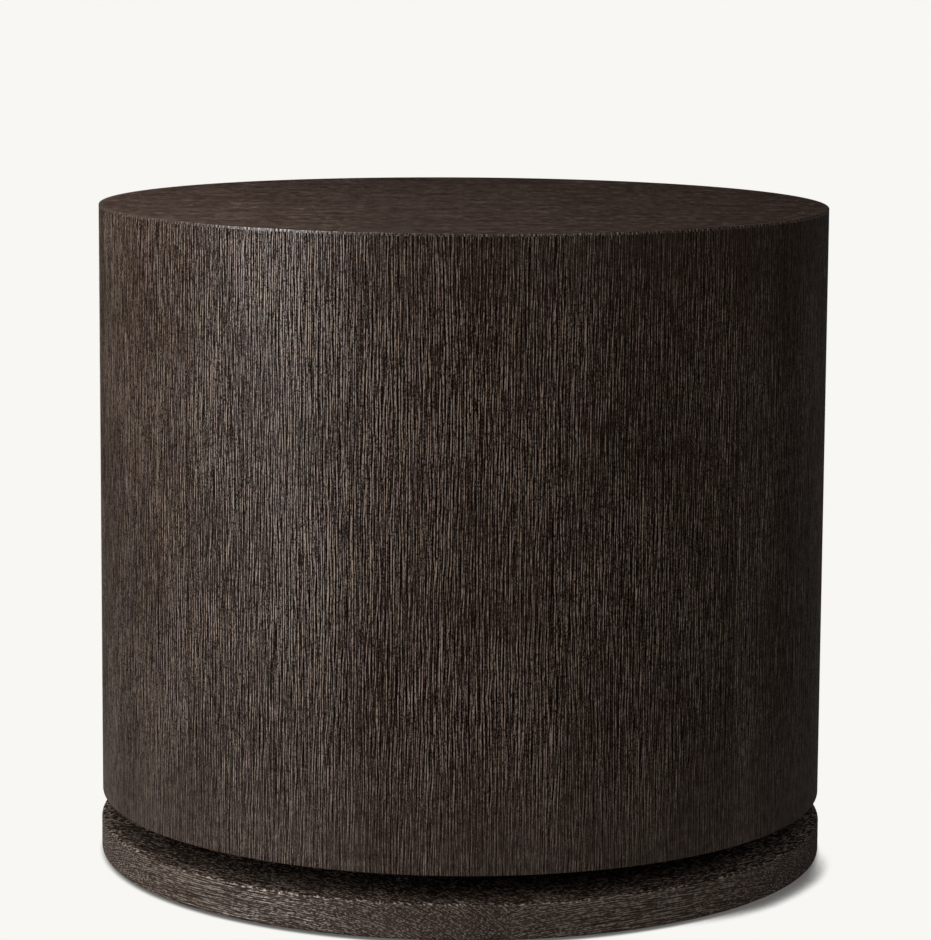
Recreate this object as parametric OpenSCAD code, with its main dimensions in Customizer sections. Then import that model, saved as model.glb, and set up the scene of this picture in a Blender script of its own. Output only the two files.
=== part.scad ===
// Round drum table in brushed oak.
// The drum is a veneered shell on a frame of formers and studs. It stands on a narrow neck ring,
// which leaves a shadow gap above a base of four mitred oak segments with screw-out levelling feet.
// Z is up, the origin is on the floor under the middle of the table, and the front faces -Y.

/* [Drum] */
// Outside diameter of the drum
drum_d = 610; // [560:1:760]
// Height of the drum
drum_h = 496.5; // [300:0.5:700]
// Thickness of the side veneer
side_veneer_t = 1.6; // [0.8:0.1:2.5]
// Thickness of the top veneer
top_veneer_t = 2; // [2:0.1:3]
// Width of the sanded arris round the top
top_arris = 1.4; // [0.5:0.1:1.8]
// Thickness of the top panel
top_panel_t = 25; // [18:1:38]
// Thickness of the bent wall shells
wall_t = 12; // [9:1:18]

/* [Veneer layout] */
// Number of veneer leaves round the side
side_leaves = 12; // [8:1:14]
// Number of veneer leaves across the top
top_leaves = 5; // [3:2:5]

/* [Inner frame] */
// Thickness of the formers and of the drum floor
former_t = 18; // [15:1:24]
// Width of the former rings
former_w = 70; // [60:1:90]
// Number of studs
studs = 8; // [6:1:9]
// Width of a stud along the wall
stud_w = 45; // [36:1:60]
// Depth of a stud towards the middle
stud_t = 20; // [16:1:28]

/* [Shadow gap and base] */
// Height of the shadow gap between drum and base
gap_h = 22; // [15:1:40]
// Distance of the neck ring from the side of the drum
neck_inset = 75; // [60:1:90]
// Width of the neck ring
neck_w = 60; // [50:1:80]
// How far the base stands out past the side of the drum
base_lip = 1; // [0:0.5:10]
// Thickness of the base
base_t = 29.5; // [28:0.5:40]
// Radius of the upper outer edge of the base
base_top_r = 2.5; // [1:0.5:6]
// Radius of the lower outer edge of the base
base_low_r = 3; // [1:0.5:6]
// Angle of the first mitre from the front of the table
first_mitre = 7.4; // [0:0.1:45]

/* [Levelling feet] */
// Distance from the floor to the underside of the base with the feet screwed in
foot_gap = 2; // [1:0.5:4]
// Diameter of a foot's pad
pad_d = 32; // [28:1:36]
// Height of a foot's pad
pad_h = 7; // [6:0.5:7]
// How far a foot screws out
foot_travel = 8; // [4:1:8]

/* [Hidden] */
// Smoothness of round parts
$fn = 96;
// Cuts reach past a surface by this much
over = 1;
// Glue line between curved faces that meet
glue = 0.1;

drum_r = drum_d / 2;
base_r = drum_r + base_lip;

// Levels, from the floor up
base_z0 = foot_gap;
base_z1 = base_z0 + base_t;
drum_z0 = base_z1 + gap_h;
drum_z1 = drum_z0 + drum_h;
veneer_z = drum_z1 - top_veneer_t;
panel_z = veneer_z - top_panel_t;
floor_z1 = drum_z0 + former_t;
upper_former_z = panel_z - former_t;
middle_former_z = (floor_z1 + upper_former_z - former_t) / 2;

// Radii of the drum, from the outside in
core_r = drum_r - side_veneer_t - glue;
wall_r0 = core_r - wall_t;
frame_r = wall_r0 - glue;
former_r0 = frame_r - former_w;

// The top is covered by strips of veneer that run along X
top_leaf_w = drum_d / top_leaves;
side_leaf_a = 360 / side_leaves;
// Radius of the lower edge of the side veneer
veneer_low_r = 0.8;

neck_r1 = drum_r - neck_inset;
neck_r0 = neck_r1 - neck_w;
// The core of the base reaches this far under the neck ring, and the oak ring starts there
core_overlap = 36;
ring_r0 = neck_r0 + core_overlap;
base_core_r = ring_r0 - glue;
// The core stops this far above the underside of the ring
core_recess = 4;
segments = 4;
segment_a = 360 / segments;

// Loose tongue across each mitre
tongue_w = 40;
tongue_l = 44;
tongue_t = 8;
tongue_clear = 0.2;

// M8 hardware
m8 = 8;
hex_af = 13;
hex_head_h = 5.3;
washer_d = 20;
washer_t = 1.6;
nut_flange_d = 24;
nut_flange_t = 1.5;
nut_barrel_d = 11;
// Thread still held when a foot is screwed right out
thread_left = 4;
nut_barrel_h = foot_travel + thread_left;
thread_clear = 0.05;

// Six bolts hold the base and the neck to the drum floor
bolts = 6;
bolt_ring_r = neck_r0 + core_overlap / 2;
bolt_pocket_d = 26;
bolt_pocket_h = 8;
bolt_hole_d = 9;
bolt_seat_z = base_z0 + core_recess + bolt_pocket_h;
// Bolts come in steps of 5 mm and end in or just above the nuts
bolt_l_step = 5;
bolt_l = ceil((floor_z1 - bolt_seat_z + washer_t) / bolt_l_step) * bolt_l_step;

// Levelling feet, one in the middle of each base segment
foot_r = (ring_r0 + base_r) / 2;
stem_hex_af = 12;
stem_hex_h = 3;
stop_gap = 0.3;
stem_hex_z = pad_h + stop_gap;
insert_z = stem_hex_z + stem_hex_h + stop_gap;
foot_pocket_z = insert_z + nut_flange_t;
// Room for a spanner round the pad
foot_pocket_room = 5;
foot_pocket_d = pad_d + 2 * foot_pocket_room;
// Wood left above the hole of an insert, and air above the end of the stem
insert_skin = 3.5;
stem_air = 1.5;
insert_hole_z = base_z1 - insert_skin;
stem_z1 = insert_hole_z - stem_air;
pad_edge_r = 1.5;
// Round head of the stem, held in the hollow of the pad
head_d = 14;
head_h = 2.4;
head_z = 2.6;
head_clear = 0.3;
lip_clear = 0.1;

// Wood screws
screw_d = 4.5;
screw_head_d = 9;
screw_head_h = 3;
screw_tip_h = 5;
top_screws = 8;
top_screw_l = 35;
// Screws of the upper former, measured from its inner edge
top_screw_in = 25;
top_screw_r = former_r0 + top_screw_in;
floor_screw_l = 50;
floor_screw_r = frame_r - stud_t / 2;

// Angle of a part from the front, counted towards +X
function stud_angle(i) = (i - 0.5) * 360 / studs;
function bolt_angle(i) = first_mitre + segment_a / 2 + (i - 1) * 360 / bolts;
function screw_angle(i) = i * 360 / top_screws;
function foot_angle(i) = first_mitre + (i - 0.5) * segment_a;
function mitre_angle(i) = first_mitre + (i - 1) * segment_a;

// Puts what follows at an angle from the front, with its own +X pointing outwards
module at_angle(a) {
    rotate([0, 0, a - 90]) children();
}

// A sector between two angles of a rectangle or any other profile drawn in radius and height
module sector(from, to) {
    at_angle(from) rotate_extrude(angle = to - from) children();
}

// A flat ring or disc from its two radii and two levels
module ring(r0, r1, z0, z1) {
    rotate_extrude() translate([r0, z0]) square([r1 - r0, z1 - z0]);
}

// Profile with its two outer corners rounded, from radius and level limits
module rounded_profile(r0, r1, z0, z1, low_r, top_r) {
    difference() {
        translate([r0, z0]) square([r1 - r0, z1 - z0]);
        if (low_r > 0) corner_waste(r1, z0, low_r, -1);
        if (top_r > 0) corner_waste(r1, z1, top_r, 1);
    }
}

// What a rounding takes off an outer corner; side is 1 at the top and -1 at the bottom
module corner_waste(r, z, round_r, side) {
    difference() {
        translate([r - round_r, side > 0 ? z - round_r : z - over]) square([round_r + over, round_r + over]);
        translate([r - round_r, z - side * round_r]) circle(r = round_r);
    }
}

// Veneer strip number i of the top, counted from the front
module top_veneer(i) {
    y0 = -drum_r + (i - 1) * top_leaf_w;
    color("#3d332e") intersection() {
        rotate_extrude() polygon([
            [0, veneer_z], [drum_r, veneer_z], [drum_r, drum_z1 - top_arris],
            [drum_r - top_arris, drum_z1], [0, drum_z1]
        ]);
        translate([-drum_r - over, y0, veneer_z - over])
            cube([drum_d + 2 * over, top_leaf_w, top_veneer_t + 2 * over]);
    }
}

// Veneer leaf number i of the side; the first one is centred on the front
module side_veneer(i) {
    color("#3a302b") sector((i - 1.5) * side_leaf_a, (i - 0.5) * side_leaf_a)
        rounded_profile(drum_r - side_veneer_t, drum_r, drum_z0, veneer_z, veneer_low_r, 0);
}

// Disc under the top veneer, with pilot holes for the screws of the upper former
module top_panel() {
    color("#b9986b") difference() {
        ring(0, core_r, panel_z, veneer_z);
        top_screw_holes();
    }
}

// Quarter of the bent plywood wall
module wall_shell(i) {
    color("#c7a877") sector((i - 1) * segment_a, i * segment_a)
        translate([wall_r0, drum_z0]) square([wall_t, panel_z - drum_z0]);
}

// Ring of plywood with a notch for each stud
module former(z) {
    difference() {
        ring(former_r0, frame_r, z, z + former_t);
        for (i = [1 : studs]) at_angle(stud_angle(i)) translate([frame_r - stud_t, -stud_w / 2, z - over])
            cube([stud_t + over, stud_w, former_t + 2 * over]);
    }
}

module upper_former() {
    color("#c9ab7c") difference() {
        former(upper_former_z);
        top_screw_holes();
    }
}

module top_screw_holes() {
    for (i = [1 : top_screws])
        screw_place(screw_angle(i), top_screw_r, upper_former_z) screw_hole(top_screw_l);
}

module middle_former() {
    color("#c9ab7c") former(middle_former_z);
}

// Stud from the drum floor to the top panel, its back shaped to the wall
module stud(i) {
    color("#d2b68a") difference() {
        intersection() {
            at_angle(stud_angle(i)) translate([frame_r - stud_t, -stud_w / 2, floor_z1])
                cube([stud_t + over, stud_w, panel_z - floor_z1]);
            ring(0, frame_r, floor_z1, panel_z);
        }
        screw_place(stud_angle(i), floor_screw_r, drum_z0) screw_hole(floor_screw_l);
    }
}

// Disc that closes the drum underneath
module drum_floor() {
    color("#2a2523") difference() {
        ring(0, frame_r, drum_z0, floor_z1);
        bolt_holes(drum_z0, floor_z1, nut_barrel_d);
        for (i = [1 : studs]) screw_place(stud_angle(i), floor_screw_r, drum_z0) screw_hole(floor_screw_l);
    }
}

// Ring that lifts the drum off the base
module neck_ring() {
    color("#1d1a19") difference() {
        ring(neck_r0, neck_r1, base_z1, drum_z0);
        bolt_holes(base_z1, drum_z0, bolt_hole_d);
    }
}

// Solid oak quarter of the base, mitred at both ends
module base_segment(i) {
    color("#453a34") difference() {
        sector(mitre_angle(i), mitre_angle(i + 1))
            rounded_profile(ring_r0, base_r, base_z0, base_z1, base_low_r, base_top_r);
        for (k = [i, i + 1]) at_angle(mitre_angle(k)) tongue_block(tongue_clear);
        at_angle(foot_angle(i)) translate([foot_r, 0, 0]) {
            translate([0, 0, base_z0 - over]) cylinder(d = foot_pocket_d, h = foot_pocket_z - base_z0 + over);
            cylinder(d = nut_barrel_d, h = insert_hole_z);
        }
    }
}

// Tongue across a mitre, in the middle of the ring's width; grow widens it into its slot
module tongue_block(grow) {
    translate([foot_r - tongue_w / 2 - grow, -tongue_l / 2 - grow, (base_z0 + base_z1 - tongue_t) / 2 - grow])
        cube([tongue_w + 2 * grow, tongue_l + 2 * grow, tongue_t + 2 * grow]);
}

module base_tongue(i) {
    color("#d2b68a") at_angle(mitre_angle(i)) tongue_block(0);
}

// Disc inside the oak ring, pocketed for the bolt heads
module base_core() {
    color("#2a2523") difference() {
        ring(0, base_core_r, base_z0 + core_recess, base_z1);
        bolt_holes(base_z0 + core_recess, base_z1, bolt_hole_d);
        for (i = [1 : bolts]) at_angle(bolt_angle(i)) translate([bolt_ring_r, 0, base_z0])
            cylinder(d = bolt_pocket_d, h = bolt_seat_z - base_z0);
    }
}

// Holes on the bolt ring, cut through between two levels
module bolt_holes(z0, z1, d) {
    for (i = [1 : bolts]) at_angle(bolt_angle(i)) translate([bolt_ring_r, 0, z0 - over])
        cylinder(d = d, h = z1 - z0 + 2 * over);
}

// Nylon pad with a hollow that holds the head of the stem
module leveller_pad(i) {
    cavity_r = head_d / 2 + head_clear;
    color("#161616") at_angle(foot_angle(i)) translate([foot_r, 0, 0]) difference() {
        rotate_extrude() rounded_profile(0, pad_d / 2, 0, pad_h, pad_edge_r, pad_edge_r);
        translate([0, 0, head_z - head_clear]) cylinder(r = cavity_r, h = head_h + 2 * head_clear);
        translate([0, 0, head_z]) cylinder(r = m8 / 2 + lip_clear, h = pad_h);
    }
}

// Steel stem: round head in the pad, hexagon for a spanner, and the threaded rod
module leveller_stem(i) {
    color("#b8bcc0") at_angle(foot_angle(i)) translate([foot_r, 0, 0]) {
        translate([0, 0, head_z]) cylinder(d = head_d, h = head_h);
        translate([0, 0, head_z]) cylinder(d = m8, h = stem_z1 - head_z);
        translate([0, 0, stem_hex_z]) hexagon(stem_hex_af, stem_hex_h);
    }
}

// Hexagonal prism from its width across flats
module hexagon(af, h) {
    cylinder(d = af / cos(30), h = h, $fn = 6);
}

// Flanged nut with its flange at the origin and its barrel above it
module flanged_nut() {
    nut_h = nut_flange_t + nut_barrel_h;
    difference() {
        union() {
            cylinder(d = nut_flange_d, h = nut_flange_t);
            cylinder(d = nut_barrel_d - 2 * glue, h = nut_h);
        }
        translate([0, 0, -over]) cylinder(r = m8 / 2 + thread_clear, h = nut_h + 2 * over);
    }
}

module leveller_inserts() {
    color("#a9a49a") for (i = [1 : segments]) at_angle(foot_angle(i))
        translate([foot_r, 0, insert_z]) flanged_nut();
}

// Bolts from under the base up into the drum floor
module hex_bolts() {
    color("#8d9094") for (i = [1 : bolts]) at_angle(bolt_angle(i))
        translate([bolt_ring_r, 0, bolt_seat_z - washer_t]) {
            translate([0, 0, -hex_head_h]) hexagon(hex_af, hex_head_h);
            cylinder(d = m8, h = bolt_l);
        }
}

module bolt_washers() {
    color("#9a9da0") for (i = [1 : bolts]) at_angle(bolt_angle(i)) translate([bolt_ring_r, 0, 0])
        ring(m8 / 2 + 2 * glue, washer_d / 2, bolt_seat_z - washer_t, bolt_seat_z);
}

// Nuts let into the drum floor from above
module flanged_nuts() {
    color("#a9a49a") for (i = [1 : bolts]) at_angle(bolt_angle(i))
        translate([bolt_ring_r, 0, floor_z1 + nut_flange_t]) rotate([180, 0, 0]) flanged_nut();
}

// Countersunk wood screw, head at the origin and tip upwards
module wood_screw(l) {
    rotate_extrude() polygon([
        [0, 0], [screw_head_d / 2, 0], [screw_d / 2, screw_head_h],
        [screw_d / 2, l - screw_tip_h], [0, l]
    ]);
}

// The screw's own space, a little larger all round
module screw_hole(l) {
    translate([0, 0, -over]) cylinder(d = screw_head_d + 2 * glue, h = over + glue / 2);
    rotate_extrude() polygon([
        [0, 0], [screw_head_d / 2 + glue, 0], [screw_d / 2 + glue, screw_head_h],
        [screw_d / 2 + glue, l - screw_tip_h], [glue, l + glue], [0, l + glue]
    ]);
}

module screw_place(a, r, z) {
    at_angle(a) translate([r, 0, z]) children();
}

module top_screw_set() {
    color("#b09a5c") for (i = [1 : top_screws])
        screw_place(screw_angle(i), top_screw_r, upper_former_z) wood_screw(top_screw_l);
}

module floor_screw_set() {
    color("#b09a5c") for (i = [1 : studs])
        screw_place(stud_angle(i), floor_screw_r, drum_z0) wood_screw(floor_screw_l);
}

for (i = [1 : top_leaves]) top_veneer(i);
for (i = [1 : side_leaves]) side_veneer(i);
top_panel();
for (i = [1 : segments]) wall_shell(i);
upper_former();
middle_former();
for (i = [1 : studs]) stud(i);
drum_floor();
neck_ring();
for (i = [1 : segments]) base_segment(i);
for (i = [1 : segments]) base_tongue(i);
base_core();
for (i = [1 : segments]) leveller_pad(i);
for (i = [1 : segments]) leveller_stem(i);
leveller_inserts();
hex_bolts();
bolt_washers();
flanged_nuts();
top_screw_set();  // top_screws
floor_screw_set();  // floor_screws
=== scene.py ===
"""Round drum table in dark brushed oak: veneered drum, shadow gap and mitred base, with its studio.

Every length is in metres. Z is up, the front of the table faces -Y, and angles round the table are
counted from the front towards +X. The drum's veneers and the base segments are made here as closed
surfaces with brushed grain in their shape; the other parts keep their solids and get finishes.
"""

import math

import bmesh
import bpy
import numpy as np
from bpy.props import FloatProperty, FloatVectorProperty, PointerProperty
from bpy.types import Operator, Panel, PropertyGroup
from mathutils import Matrix, Vector


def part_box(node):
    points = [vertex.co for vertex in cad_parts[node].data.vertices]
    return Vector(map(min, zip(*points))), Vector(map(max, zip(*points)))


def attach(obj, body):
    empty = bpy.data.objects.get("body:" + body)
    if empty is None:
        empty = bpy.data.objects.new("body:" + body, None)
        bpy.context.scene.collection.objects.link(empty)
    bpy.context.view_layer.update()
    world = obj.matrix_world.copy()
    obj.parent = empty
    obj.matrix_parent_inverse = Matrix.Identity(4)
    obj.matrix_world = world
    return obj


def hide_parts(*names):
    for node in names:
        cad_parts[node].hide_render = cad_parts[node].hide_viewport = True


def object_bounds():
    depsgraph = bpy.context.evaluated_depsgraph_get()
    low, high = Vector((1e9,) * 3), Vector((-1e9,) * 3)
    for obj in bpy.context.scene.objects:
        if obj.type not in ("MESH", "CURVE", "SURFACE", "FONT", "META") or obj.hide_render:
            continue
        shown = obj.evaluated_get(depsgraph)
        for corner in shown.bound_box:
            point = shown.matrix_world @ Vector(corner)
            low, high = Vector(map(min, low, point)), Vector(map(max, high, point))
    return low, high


bl_info = {
    "name": "Brushed Oak Drum Table",
    "version": (1, 0, 0),
    "blender": (4, 5, 0),
    "location": "View3D > Sidebar > Drum Table",
    "description": "Dresses a round drum table in brushed oak and sets up its studio",
    "category": "Object",
}

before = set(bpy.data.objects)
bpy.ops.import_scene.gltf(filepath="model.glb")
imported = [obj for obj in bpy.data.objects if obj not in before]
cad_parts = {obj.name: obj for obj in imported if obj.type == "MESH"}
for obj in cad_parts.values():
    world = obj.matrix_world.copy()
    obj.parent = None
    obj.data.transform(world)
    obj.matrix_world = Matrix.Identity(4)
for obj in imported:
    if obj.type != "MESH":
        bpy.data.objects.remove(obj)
CAD_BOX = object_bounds()

MM = 0.001
BODY = "table"
# Edges sharper than this stay crisp in the shading
SHARP_ANGLE = math.radians(38)
BAKE_EDGE = 0.02

# Sizes read from the solids
TOP_LEAVES = 5
SIDE_LEAVES = 12
SEGMENTS = 4
SEGMENT_ANGLE = 2 * math.pi / SEGMENTS
TOP_LEAF_LOW, TOP_LEAF_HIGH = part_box("top_veneer_3")
DRUM_R = TOP_LEAF_HIGH[0]
VENEER_Z = TOP_LEAF_LOW[2]
DRUM_Z1 = TOP_LEAF_HIGH[2]
DRUM_Z0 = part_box("side_veneer_1")[0][2]
SIDE_VENEER_T = 1.6 * MM
BASE_Z0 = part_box("base_segment_1")[0][2]
BASE_Z1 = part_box("base_segment_1")[1][2]
BASE_MID_Z = (BASE_Z0 + BASE_Z1) / 2
BASE_R = CAD_BOX[1][0]
NECK_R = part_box("neck_ring")[1][0]
FIRST_MITRE = math.radians(7.4)
# How hard brushing bit into the middle of each side leaf, the share of it that is left at the leaf's
# lower and upper edge, and how far from the edge it fades
LEAF_BITE = (1.0, 0.78, 0.4, 0.7, 0.9, 0.8, 1.0, 0.85, 0.7, 0.9, 0.9, 1.0)
LOW_BITE = 0.35
HIGH_BITE = (0.5, 0.4, 0.6, 0.9, 1.0, 0.7, 0.6, 0.8, 1.0, 0.9, 1.0, 1.0)
LOW_FADE_H = 140 * MM
HIGH_FADE_H = 75 * MM
# Widths over which ridges fade near a seam of two leaves, near a mitre and where the base's light ends
SEAM_W = 1.2 * MM
MITRE_FADE_W = 1.5 * MM
LIT_FADE_W = 3 * MM

# The base ring: its hole, how far in its top is lit and seen, its foot pockets and tongue slots
RING_R0 = 206 * MM
BRIGHT_R = BASE_R - 22 * MM
SEEN_R = NECK_R - 4 * MM
FOOT_R = (RING_R0 + BASE_R) / 2
POCKET_R = 21 * MM
POCKET_SIDES = 48
POCKET_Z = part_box("leveller_inserts")[0][2] + 1.5 * MM
INSERT_R = 5.5 * MM
INSERT_Z = BASE_Z1 - 3.5 * MM
SLOT_W = 40.4 * MM
SLOT_H = 8.4 * MM
SLOT_DEPTH = 22.2 * MM


class DrumSettings(PropertyGroup):
    """Sizes and colours of the drum's brushed veneer."""

    ridge_spacing: FloatProperty(
        name="Ridge spacing", description="Distance between the raised grain lines of the side",
        default=1.8 * MM, min=0.8 * MM, max=6 * MM, unit="LENGTH")
    side_relief: FloatProperty(
        name="Side relief", description="Depth that brushing has cut into the side veneer",
        default=0.16 * MM, min=0, max=0.5 * MM, unit="LENGTH")
    top_relief: FloatProperty(
        name="Top relief", description="Depth that brushing has cut into the top veneer",
        default=0.05 * MM, min=0, max=0.3 * MM, unit="LENGTH")
    arris: FloatProperty(
        name="Arris", description="Radius of the sanded edge round the top",
        default=0.9 * MM, min=0.5 * MM, max=1.9 * MM, unit="LENGTH")
    groove_colour: FloatVectorProperty(
        name="Groove colour", description="Stain in the brushed-out grain",
        default=(0.0036, 0.0011, 0.0003), min=0, max=1, subtype="COLOR")
    wood_colour: FloatVectorProperty(
        name="Wood colour", description="Stained wood between the grooves",
        default=(0.0375, 0.0213, 0.0138), min=0, max=1, subtype="COLOR")
    # The ridge tips are pale partly in the wood itself and partly as painted sheen
    ridge_colour: FloatVectorProperty(
        name="Ridge colour", description="Pale tips of the raised grain",
        default=(0.33, 0.262, 0.221), min=0, max=1, subtype="COLOR")


class BaseSettings(PropertyGroup):
    """Sizes and colours of the solid oak base."""

    ring_spacing: FloatProperty(
        name="Ring spacing", description="Distance between growth rings",
        default=1.6 * MM, min=1 * MM, max=8 * MM, unit="LENGTH")
    relief: FloatProperty(
        name="Relief", description="Depth that brushing has cut into the base",
        default=0.28 * MM, min=0, max=0.5 * MM, unit="LENGTH")
    top_edge: FloatProperty(
        name="Upper edge", description="Radius of the base's upper outer edge",
        default=2.5 * MM, min=1 * MM, max=6 * MM, unit="LENGTH")
    low_edge: FloatProperty(
        name="Lower edge", description="Radius of the base's lower outer edge",
        default=3 * MM, min=1 * MM, max=6 * MM, unit="LENGTH")
    groove_colour: FloatVectorProperty(
        name="Groove colour", description="Stain in the early wood",
        default=(0.0070, 0.0035, 0.0020), min=0, max=1, subtype="COLOR")
    wood_colour: FloatVectorProperty(
        name="Wood colour", description="Stained wood between the rings",
        default=(0.083, 0.0555, 0.0410), min=0, max=1, subtype="COLOR")
    ridge_colour: FloatVectorProperty(
        name="Ridge colour", description="Pale tips of the late wood",
        default=(0.40, 0.328, 0.276), min=0, max=1, subtype="COLOR")


class StageSettings(PropertyGroup):
    """The studio round the table."""

    key_power: FloatProperty(
        name="Key light", description="Power of the large soft light on the left",
        default=38.5, min=0, soft_max=500, unit="POWER")
    fill_power: FloatProperty(
        name="Fill light", description="Power of the wide weak light in front",
        default=18.0, min=0, soft_max=500, unit="POWER")
    top_power: FloatProperty(
        name="Top light", description="Power of the small soft light over the left of the top",
        default=6.6, min=0, soft_max=100, unit="POWER")
    room_light: FloatProperty(
        name="Room light", description="Strength of the light that comes from all round",
        default=0.165, min=0, max=2)
    backdrop_colour: FloatVectorProperty(
        name="Backdrop", description="Colour that floor and backdrop show",
        default=(0.939, 0.930, 0.896), min=0, max=1, subtype="COLOR")


# Surfaces

def together(*arrays):
    """Pairs or places from two or three arrays of numbers that fit each other."""
    return np.stack(np.broadcast_arrays(*arrays), axis=-1)


def ease(t):
    """Smooth step from 0 to 1: 3t^2 - 2t^3, and flat outside."""
    t = np.clip(t, 0, 1)
    return t * t * (3 - 2 * t)


def runs(seed, along, lane, length):
    """Random heights from 0 to 1 along the grain, for lanes with whole numbers.

    Each lane has its own heights, a new one every length, from a place of its own. They blend
    smoothly along the lane, and not from lane to lane.
    """
    rng = np.random.default_rng(seed)
    lane = lane - lane.min()
    start = rng.random(lane.max() + 1)
    run = rng.random((lane.max() + 1, int(np.ptp(along) / length) + 3))
    place = (along - along.min()) / length + start[lane]
    cell = np.floor(place).astype(int)
    blend = ease(place - cell)
    return run[lane, cell] * (1 - blend) + run[lane, cell + 1] * blend


def fibres(seed, along, across, depth, length, width):
    """Heights from 0 to 1 of wood fibres: runs in square lanes, blended from lane to lane."""
    cells = []
    for x in (across, depth):
        place = (x - x.min()) / width
        cell = np.floor(place).astype(int)
        cells.append((cell, ease(place - cell)))
    (a, blend_a), (d, blend_d) = cells
    deep = d.max() + 2
    corners = [runs(seed, along, (a + i) * deep + d + j, length) for i in (0, 1) for j in (0, 1)]
    near = corners[0] * (1 - blend_a) + corners[2] * blend_a
    far = corners[1] * (1 - blend_a) + corners[3] * blend_a
    return near * (1 - blend_d) + far * blend_d


def ridge_row(seed, along, place, spacing):
    """Heights of a row of ridges, one in each spacing, about 0 on average and never above 1.

    Across its lane a ridge is a parabola with a flat gap at both sides. Its middle, its width and
    its strength change slowly along it, each in its own way.
    """
    count = place / spacing
    lane = np.floor(count).astype(int)
    middle = 0.5 + 0.55 * (runs(seed, along, lane, 15 * MM) - 0.5)
    half_width = 0.24 + 0.14 * runs(seed + 1, along, lane, 17 * MM)
    strength = 0.25 + 0.75 * runs(seed + 2, along, lane, 9 * MM)
    ridge = np.clip(1 - ((count - lane - middle) / half_width) ** 2, 0, 1)
    return strength * (ridge - half_width * 4 / 3)


def brushed(seed, along, across, spacing):
    """Ridge height from 0 to 1 on brushed veneer: a close and a wider row of ridges, one laid over
    the other. Both drift and waver a little sideways together.
    """
    flat = np.zeros_like(along)
    drift = fibres(seed, along, across, flat, 180 * MM, 30 * MM) - 0.5
    waver = fibres(seed + 8, along, across, flat, 16 * MM, 5 * MM) - 0.5
    place = across + 4 * MM * drift + 0.9 * MM * waver
    wide = ridge_row(seed + 1, along, place, 1.5 * spacing)
    close = ridge_row(seed + 4, along, place, spacing)
    return np.clip(0.5 + 0.45 * wide + 0.65 * close, 0, 1)


def faded(ridge, nearness):
    """Ridges that pass into half depth at a seam, so that no step shows between two pieces."""
    return 0.5 + (ridge - 0.5) * np.clip(nearness, 0, 1)


def arc(centre_a, centre_b, radius, start, end, steps):
    """Points on a circle between two angles in degrees, both ends included."""
    t = np.radians(np.linspace(start, end, steps + 1))
    return together(centre_a + radius * np.cos(t), centre_b + radius * np.sin(t))


def round_the_table(radius, angle, z):
    """Points from a radius, an angle counted from the front towards +X, and a level."""
    return together(radius * np.sin(angle), -radius * np.cos(angle), z)


def inset(share):
    """Shares from 0 to 1 as places on the bake map, kept a little inside its border."""
    return BAKE_EDGE + (1 - 2 * BAKE_EDGE) * share


def even_runs(lengths, shares):
    """Places on the bake map for a chain of runs, each given its share and split by lengths."""
    steps = np.concatenate([run / run.sum() * share for run, share in zip(lengths, shares)])
    return inset(np.concatenate([[0], np.cumsum(steps)]) / steps.sum())


def sweep_quads(stations, profile, closed):
    """Quads between neighbouring stations and neighbouring profile points, faces outward."""
    i = np.arange(stations - 1)[:, None]
    j = np.arange(profile if closed else profile - 1)[None, :]
    after = (j + 1) % profile
    near, far = i * profile, (i + 1) * profile
    return together(near + j, far + j, far + after, near + after).reshape(-1, 4)


def quad_corners(grid):
    """Corner values of sweep_quads' faces, from values on stations and profile edges."""
    corners = [grid[:-1, :-1], grid[1:, :-1], grid[1:, 1:], grid[:-1, 1:]]
    return np.stack(corners, axis=2).reshape(-1, grid.shape[-1])


def round_profile(grid):
    """Values on stations and profile points, with the profile's first point again at its end."""
    return np.concatenate([grid, grid[:, :1]], axis=1)


def set_values(mesh, name, values):
    """Stores one value or one place for each vertex as an attribute that a material can read."""
    places = values.size > len(mesh.vertices)
    kind, key = ("FLOAT_VECTOR", "vector") if places else ("FLOAT", "value")
    attribute = mesh.attributes.new(name, kind, "POINT")
    attribute.data.foreach_set(key, np.ascontiguousarray(values, dtype=np.float32).ravel())


def set_map(mesh, name, corners):
    """Adds a UV map from one pair of numbers for each face corner."""
    layer = mesh.uv_layers.new(name=name)
    layer.data.foreach_set("uv", np.ascontiguousarray(corners, dtype=np.float32).ravel())


def add_object(name, data):
    """Puts a mesh, a light or a camera into the scene."""
    made = bpy.data.objects.new(name, data)
    bpy.context.scene.collection.objects.link(made)
    return made


def add_piece(name, mesh, material, node):
    """Puts a finished mesh into the scene as a piece that stands for a solid."""
    mesh.materials.append(material)
    mesh.shade_smooth()
    mesh.set_sharp_from_angle(angle=SHARP_ANGLE)
    piece = add_object(name, mesh)
    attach(piece, BODY)
    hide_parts(node)


def swept_mesh(name, points, grain, bake, cap_places):
    """Closed mesh from a closed profile at every station of a path.

    points holds a place for each station and profile point, and grain and bake a pair of numbers,
    with the first point's again at the end. One flat face closes each end. It lies in a thin strip
    of the bake map, at the places from 0 to 1 that cap_places gives.
    """
    stations, profile = points.shape[:2]
    quads = sweep_quads(stations, profile, closed=True)
    first = np.arange(profile)
    last = (stations - 1) * profile + first[::-1]
    mesh = bpy.data.meshes.new(name)
    mesh.from_pydata(points.reshape(-1, 3), [], quads.tolist() + [first.tolist(), last.tolist()])
    margin, strip = 0.003, 0.012
    ends = ((margin, cap_places[0]), (1 - margin - strip, cap_places[1][::-1]))
    caps = [together(left + strip * places[:, 0], inset(places[:, 1])) for left, places in ends]
    grain_caps = [grain[0, :-1], grain[-1, :-1][::-1]]
    set_map(mesh, "grain", np.concatenate([quad_corners(grain)] + grain_caps))
    set_map(mesh, "OFBake", np.concatenate([quad_corners(bake)] + caps))
    return mesh


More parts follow.
